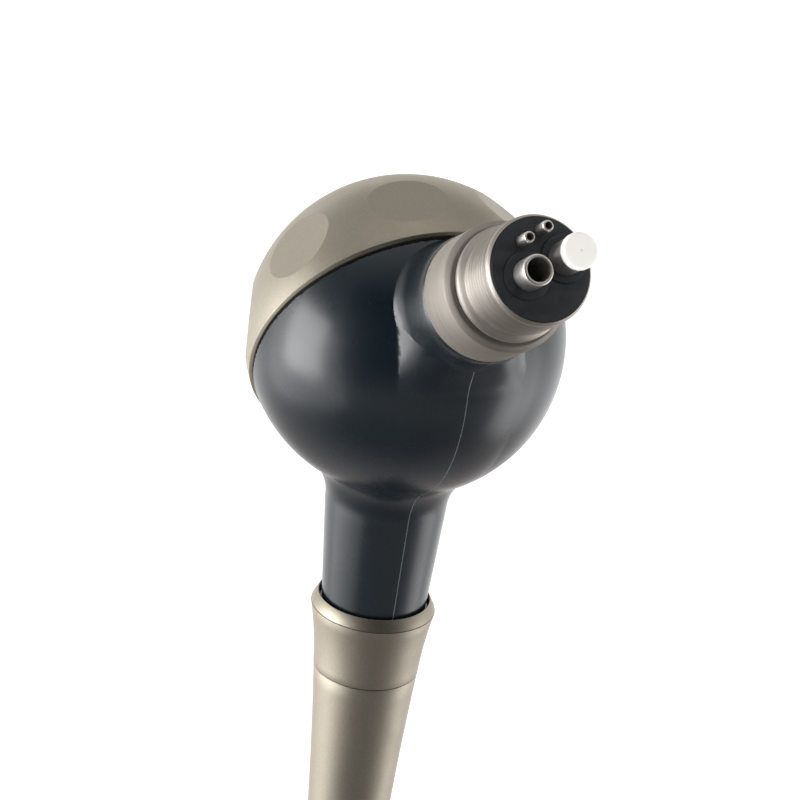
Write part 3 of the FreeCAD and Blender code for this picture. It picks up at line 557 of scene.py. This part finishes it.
capForm = {
    "radius": 19.6, "rim": -0.8, "chamfer": 0.35, "inside": 17.7, "step": 6.3, "bore": 16.6, "mouth": 16.5,
    "groove": 0.55, "pitch": 1.2, "facet": 4.85, "polar": 71.5, "phase": -10.0, "count": 8, "facetEdge": 0.1,
    "steps": 160,
}


def makeCap():
    form = capForm
    radius, rim = form["radius"], form["rim"]
    chamfer, bore, groove = form["chamfer"], form["bore"], form["groove"]
    rimOut = chordPoint(radius, rim + chamfer)
    outline = [(form["mouth"] + 0.8, rim), (chordPoint(radius, rim) - chamfer, rim), (rimOut, rim + chamfer)]
    outline = softCorners(outline + [(0, 40)], 0.1, closed=False)[:-1]
    outline += arcTo(outline[-1], (0, radius), radius, 1, 2)
    dome = [(0, form["inside"])]
    dome += arcTo(dome[0], (chordPoint(form["inside"], form["step"]), form["step"]), form["inside"], -1, 4)
    dome.append((bore, form["step"]))
    for turn in (3, 2, 1, 0):
        low = 0.5 + form["pitch"] * turn
        dome += [(bore, low + form["pitch"] * 0.925), (bore + groove, low + form["pitch"] * 0.525),
                 (bore + groove, low + form["pitch"] * 0.4), (bore, low)]
    dome += [(bore, 0.2), (form["mouth"] + 0.8, 0.2), (form["mouth"] + 0.8, rim)]
    cap = spinOutline("screwCap", outline + dome, closed=False, steps=form["steps"])
    depth = chordPoint(radius, form["facet"])
    for number in range(form["count"]):
        flat = drillRod("fingerFlat", 8, depth, depth + 6, steps=128)
        spin = math.radians(form["phase"] - 90 + 360 / form["count"] * number)
        flat.rotation_euler = (Matrix.Rotation(spin, 3, "Z") @
                               Matrix.Rotation(math.radians(form["polar"]), 3, "Y")).to_euler()
        pick(flat)
        bpy.ops.object.transform_apply(location=False, rotation=True, scale=False)
        carve(cap, flat)
    roundFacets(cap)
    leanOver(cap, capLean)
    finishPiece(cap, "cap", ["cap_shell"], [champagneMetal], 7)


def roundFacets(cap):
    # a narrow bevel round each finger flat catches the light
    form = capForm
    depth = chordPoint(form["radius"], form["facet"])
    facing = []
    for number in range(form["count"]):
        spin = math.radians(form["phase"] - 90 + 360 / form["count"] * number)
        polar = math.radians(form["polar"])
        facing.append(Vector((math.sin(polar) * math.cos(spin), math.sin(polar) * math.sin(spin),
                              math.cos(polar))))
    pick(cap)
    bpy.ops.object.mode_set(mode="EDIT")
    bpy.ops.mesh.select_mode(type="EDGE")
    bpy.ops.mesh.select_all(action="DESELECT")
    bpy.ops.object.mode_set(mode="OBJECT")
    mesh = cap.data
    onFlat = set()
    for vertex in mesh.vertices:
        spot = vertex.co / mm
        for axis in facing:
            height = spot.dot(axis)
            if abs(height - depth) < 0.002 and abs((spot - axis * height).length - form["facet"]) < 0.06:
                onFlat.add(vertex.index)
    for edge in mesh.edges:
        edge.select = edge.vertices[0] in onFlat and edge.vertices[1] in onFlat
    bpy.ops.object.mode_set(mode="EDIT")
    bpy.ops.mesh.bevel(offset=form["facetEdge"] * mm, segments=2, affect="EDGES")
    bpy.ops.object.mode_set(mode="OBJECT")


def makeRimSeal():
    inner = chordPoint(17.1, -1.3) + 0.12
    outline = softCorners([(inner, -1.3), (18.75, -1.3), (18.55, -0.86), (inner, -0.86)], 0.1)
    seal = leanOver(spinOutline("rimSeal", outline, steps=160), capLean)
    finishPiece(seal, "housing", ["rim_seal"], [blackRubber])


makeCap()
makeRimSeal()
print("screw cap made")


# the collar and the nozzle handpiece

collarForm = {"bore": 6.98, "ridge": 7.88, "waist": 7.62, "seam": 6.72, "sweep": 55, "socket": 5.25, "slope": 0.225}


def makeCollar():
    form = collarForm
    bore, slope, socket = form["bore"], form["slope"], form["socket"]
    ring = spinOutline("collarRing", softCorners([(bore, -35.2), (7.1, -35.15), (7.84, -36.54), (7.74, -36.58),
                                                  (bore, -36.58)], 0.05), steps=192)
    finishPiece(ring, "release_sleeve", ["collar_ring"], [champagneMetal])
    outline = [(bore, -36.6), (7.74, -36.6), (form["ridge"], -36.66), (form["waist"], -38.0)]
    outline += arcTo((form["waist"], -38.0), (form["seam"], -45.4), form["sweep"], 1, 1)
    outline += [(6.2, -45.4), (6.2, -43.25), (socket + slope * 2.25, -43.25), (socket, -41.0), (socket, -39.6),
                (bore, -39.6)]
    sleeve = spinOutline("releaseSleeve", softCorners(outline, 0.05), steps=192)
    finishPiece(sleeve, "release_sleeve", ["release_sleeve"], [champagneMetal])


barrelForm = {"end": -112, "endRadius": 4.7, "gripLow": -104, "grooves": 9, "groovePitch": 2.2, "grooveDepth": 0.18,
              "middle": -72, "middleRadius": 5.1, "top": -45.5, "topRadius": 6.68, "sweep": 600}


def makeBarrel():
    form = barrelForm
    end, radius, depth = form["end"], form["endRadius"], form["grooveDepth"]
    outline = [(3.9, end), (radius, end)]
    for number in range(form["grooves"]):
        low = form["gripLow"] + form["groovePitch"] * number
        outline += [(radius, low), (radius - depth, low + 0.18), (radius - depth, low + 0.5), (radius, low + 0.68)]
    gripTop = form["gripLow"] + form["groovePitch"] * form["grooves"]
    middle, top = (form["middleRadius"], form["middle"]), (form["topRadius"], form["top"])
    outline += [(radius, gripTop), middle]
    outline += arcTo(middle, top, form["sweep"], -1, 0.2)
    outline += [(5.86, -45.5), (5.86, -46.45), (5.38, -46.45), (5.38, -54.5), (4.3, -72), (3.9, gripTop)]
    barrel = spinOutline("barrelTube", softCorners(outline, 0.08), steps=192)
    finishPiece(barrel, "nozzle_handpiece", ["barrel"], [champagneMetal])


noseForm = {"bore": 1.28, "tip": -146, "tipRadius": 1.9, "top": -112.05, "topRadius": 4.62, "sweep": 190}


def makeNose():
    form = noseForm
    low = (form["tipRadius"], form["tip"] + 0.3)
    outline = [(form["bore"], form["tip"]), (1.65, form["tip"]), low]
    outline += arcTo(low, (form["topRadius"], form["top"]), form["sweep"], -1, 0.8)
    outline += [(3.85, form["top"]), (3.85, -106), (3.1, -106), (3.1, -114), (form["bore"], -124)]
    nose = spinOutline("noseCone", softCorners(outline, 0.08), steps=128)
    finishPiece(nose, "nozzle_handpiece", ["nose_cone"], [champagneMetal])


nozzleForm = {"bend": 8.0, "turn": 62.0, "knee": -166.0, "reach": 15.0, "waterTop": -134, "powderTop": -53,
              "ferruleBack": 4}


def bendTube(name, outer, inner, top, reach):
    # a ring is drawn down, spun round the bend and drawn out to the tip, then given its wall
    form = nozzleForm
    half = math.radians(form["turn"] / 2)
    trim = form["bend"] * math.tan(half)
    bendTop = form["knee"] + trim
    clearSelection()
    bpy.ops.mesh.primitive_circle_add(vertices=48, radius=outer * mm, location=(0, 0, top * mm))
    tube = bpy.context.object
    tube.name = name
    tube.data.name = name
    bpy.ops.object.transform_apply(location=True, rotation=True, scale=True)
    bpy.ops.object.mode_set(mode="EDIT")
    bpy.ops.mesh.select_mode(type="EDGE")
    bpy.ops.mesh.select_all(action="SELECT")
    bpy.ops.mesh.extrude_region_move(TRANSFORM_OT_translate={"value": (0, 0, (bendTop - top) * mm)})
    turn = math.radians(form["turn"])
    bpy.ops.mesh.spin(steps=24, angle=turn, center=(0, -form["bend"] * mm, bendTop * mm), axis=(1, 0, 0))
    run = (reach - trim) * mm
    move = (0, -math.sin(turn) * run, -math.cos(turn) * run)
    bpy.ops.mesh.extrude_region_move(TRANSFORM_OT_translate={"value": move})
    bpy.ops.mesh.select_all(action="SELECT")
    bpy.ops.mesh.remove_doubles(threshold=1e-7)
    bpy.ops.mesh.normals_make_consistent(inside=False)
    bpy.ops.object.mode_set(mode="OBJECT")
    wall = tube.modifiers.new("wall", "SOLIDIFY")
    wall.thickness = (outer - inner) * mm
    wall.offset = -1
    wall.use_even_offset = True
    bpy.ops.object.modifier_apply(modifier=wall.name)
    return tube


def makeNozzle():
    form = nozzleForm
    water = bendTube("waterNozzle", 1.25, 0.95, form["waterTop"], form["reach"])
    finishPiece(water, "nozzle_handpiece", ["water_nozzle"], [nozzleSteel])
    powder = bendTube("powderNozzle", 0.8, 0.45, form["powderTop"], form["reach"] + 0.8)
    finishPiece(powder, "nozzle_handpiece", ["powder_nozzle"], [nozzleSteel])
    outline = softCorners([(1.27, 0), (1.55, 0.3), (1.55, 3.2), (1.27, 3.6)], 0.1)
    tip = spinOutline("nozzleFerrule", outline, steps=64)
    turn = math.radians(form["turn"])
    back = form["reach"] - form["ferruleBack"]
    pick(tip)
    tip.rotation_euler = (math.radians(180 - form["turn"]), 0, 0)
    tip.location = Vector((0, -back * math.sin(turn), form["knee"] - back * math.cos(turn))) * mm
    bpy.ops.object.transform_apply(location=True, rotation=True, scale=True)
    finishPiece(tip, "nozzle_handpiece", ["nozzle_tip"], [nozzleSteel])


makeCollar()
makeBarrel()
makeNose()
makeNozzle()
print("collar and nozzle handpiece made")


# inner pieces: the frame's own solids with fitting finishes

innerPieces = {
    "powder_chamber": innerSteel, "powder_tube": nozzleSteel, "air_jet": nozzleSteel,
    "water_tube": nozzleSteel, "coupling_socket": innerSteel, "sleeve_clip": hardSteel, "sleeve_spring": hardSteel,
    "swivel_seals": blackRubber, "swivel_clip": hardSteel, "cap_gasket": blackRubber, "cap_liner": greyPlastic,
    "lock_ball_1": hardSteel, "lock_ball_2": hardSteel, "lock_ball_3": hardSteel,
    "rear_plug": innerSteel, "plug_seals": blackRubber, "water_line": nozzleSteel,
}
for node, finish in innerPieces.items():
    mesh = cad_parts[node].data
    mesh.materials.clear()
    mesh.materials.append(finish)
print("inner pieces finished")


# floor, lights and camera

studio = {"floorHeight": -0.192, "floorSize": 8.0, "floorTone": 0.82}


def makeFloor():
    clearSelection()
    bpy.ops.mesh.primitive_plane_add(size=studio["floorSize"], location=(0, 0, studio["floorHeight"]))
    floor = bpy.context.object
    floor.name = "studioFloor"
    finish, tree, shader = newFinish("paleFloor", 0.7)
    tone = studio["floorTone"]
    cloud = grainOn(tree, 400, 2.0)
    tintBetween(tree, cloud, (tone, tone, tone), (tone + 0.03, tone + 0.03, tone + 0.03), shader)
    shader.inputs["Emission Color"].default_value = (1, 1, 1, 1)
    shader.inputs["Emission Strength"].default_value = 0.6
    floor.data.materials.append(finish)
    floor.visible_glossy = False


def softbox(name, azimuth, elevation, distance, width, height, brightness, tint=(1, 1, 1)):
    # azimuth 0 is in front of the object (-Y) and grows towards +X
    a, e = math.radians(azimuth), math.radians(elevation)
    away = Vector((math.sin(a) * math.cos(e), -math.cos(a) * math.cos(e), math.sin(e)))
    data = bpy.data.lights.new(name, "AREA")
    data.shape = "RECTANGLE"
    data.size = width
    data.size_y = height
    data.energy = brightness * math.pi * width * height
    data.color = tint
    light = bpy.data.objects.new(name, data)
    bpy.context.scene.collection.objects.link(light)
    light.location = away * distance
    light.rotation_euler = away.to_track_quat("Z", "Y").to_euler()
    return light


def makeWorld():
    # plain white behind the object; what it mirrors is dark in front, bright at the sides and behind
    world = bpy.data.worlds.new("studioWhite")
    world.use_nodes = True
    tree = world.node_tree
    tree.nodes.clear()
    output = tree.nodes.new("ShaderNodeOutputWorld")
    seen = tree.nodes.new("ShaderNodeBackground")
    seen.inputs["Color"].default_value = (1, 1, 1, 1)
    seen.inputs["Strength"].default_value = 1.0
    mirrored = tree.nodes.new("ShaderNodeBackground")
    way = tree.nodes.new("ShaderNodeTexCoord")
    front = tree.nodes.new("ShaderNodeVectorMath")
    front.operation = "DOT_PRODUCT"
    front.inputs[1].default_value = Vector((-0.42, -0.9, -0.1)).normalized()
    aroundFront = tree.nodes.new("ShaderNodeMapRange")
    aroundFront.interpolation_type = "SMOOTHSTEP"
    aroundFront.inputs["From Min"].default_value = 0.62
    aroundFront.inputs["From Max"].default_value = -0.15
    aroundFront.inputs["To Min"].default_value = 0.08
    aroundFront.inputs["To Max"].default_value = 1.3
    low = tree.nodes.new("ShaderNodeMapRange")
    low.interpolation_type = "SMOOTHSTEP"
    low.inputs["From Min"].default_value = -0.18
    low.inputs["From Max"].default_value = -0.48
    low.inputs["To Min"].default_value = 0
    low.inputs["To Max"].default_value = 0.42
    total = tree.nodes.new("ShaderNodeMath")
    height = tree.nodes.new("ShaderNodeSeparateXYZ")
    level = tree.nodes.new("ShaderNodeValToRGB")
    level.color_ramp.interpolation = "EASE"
    level.color_ramp.elements[0].position = 0.1
    level.color_ramp.elements[0].color = (0.34, 0.31, 0.30, 1)
    level.color_ramp.elements[1].position = 0.32
    level.color_ramp.elements[1].color = (1, 1, 1, 1)
    for place, tone in ((0.6, 1.0), (0.82, 0.3), (0.97, 0.7)):
        mark = level.color_ramp.elements.new(place)
        mark.color = (tone, tone * 0.985, tone * 0.96, 1)
    lift = tree.nodes.new("ShaderNodeMapRange")
    lift.inputs["From Min"].default_value = -1
    tree.links.new(way.outputs["Generated"], height.inputs["Vector"])
    tree.links.new(height.outputs["Z"], lift.inputs["Value"])
    tree.links.new(lift.outputs["Result"], level.inputs["Fac"])
    path = tree.nodes.new("ShaderNodeLightPath")
    mix = tree.nodes.new("ShaderNodeMixShader")
    tree.links.new(way.outputs["Generated"], front.inputs[0])
    tree.links.new(front.outputs["Value"], aroundFront.inputs["Value"])
    tree.links.new(height.outputs["Z"], low.inputs["Value"])
    tree.links.new(aroundFront.outputs["Result"], total.inputs[0])
    tree.links.new(low.outputs["Result"], total.inputs[1])
    tree.links.new(total.outputs["Value"], mirrored.inputs["Strength"])
    tree.links.new(level.outputs["Color"], mirrored.inputs["Color"])
    tree.links.new(path.outputs["Is Camera Ray"], mix.inputs["Fac"])
    tree.links.new(mirrored.outputs["Background"], mix.inputs[1])
    tree.links.new(seen.outputs["Background"], mix.inputs[2])
    tree.links.new(mix.outputs["Shader"], output.inputs["Surface"])
    bpy.context.scene.world = world


def makeCamera():
    view = {"azimuth": -23.71, "elevation": 23.5, "roll": 7.07, "lens": 117,
            "place": (-0.11682, -0.26654, 0.11814)}
    data = bpy.data.cameras.new("viewCamera")
    data.lens = view["lens"]
    data.sensor_width = 36
    data.clip_start = 0.01
    data.clip_end = 20
    camera = bpy.data.objects.new("viewCamera", data)
    bpy.context.scene.collection.objects.link(camera)
    camera.location = view["place"]
    turn = Matrix.Rotation(math.radians(view["azimuth"]), 3, "Z")
    tilt = Matrix.Rotation(math.radians(90 - view["elevation"]), 3, "X")
    roll = Matrix.Rotation(math.radians(view["roll"]), 3, "Z")
    camera.rotation_euler = (turn @ tilt @ roll).to_euler()
    bpy.context.scene.camera = camera


makeFloor()
softbox("leftBox", -97, -3, 0.7, 0.42, 0.48, 6.8)
softbox("leftPanel", -98, -14, 0.75, 0.95, 0.74, 1.6)
softbox("rightBox", 72, -22, 0.7, 0.35, 0.5, 1.6)
frontFill = softbox("frontFill", 10, 42, 0.9, 0.8, 0.8, 2.4)
frontFill.visible_glossy = False
makeWorld()
makeCamera()
bpy.context.scene.view_settings.view_transform = "Standard"
print("floor, lights and camera set")
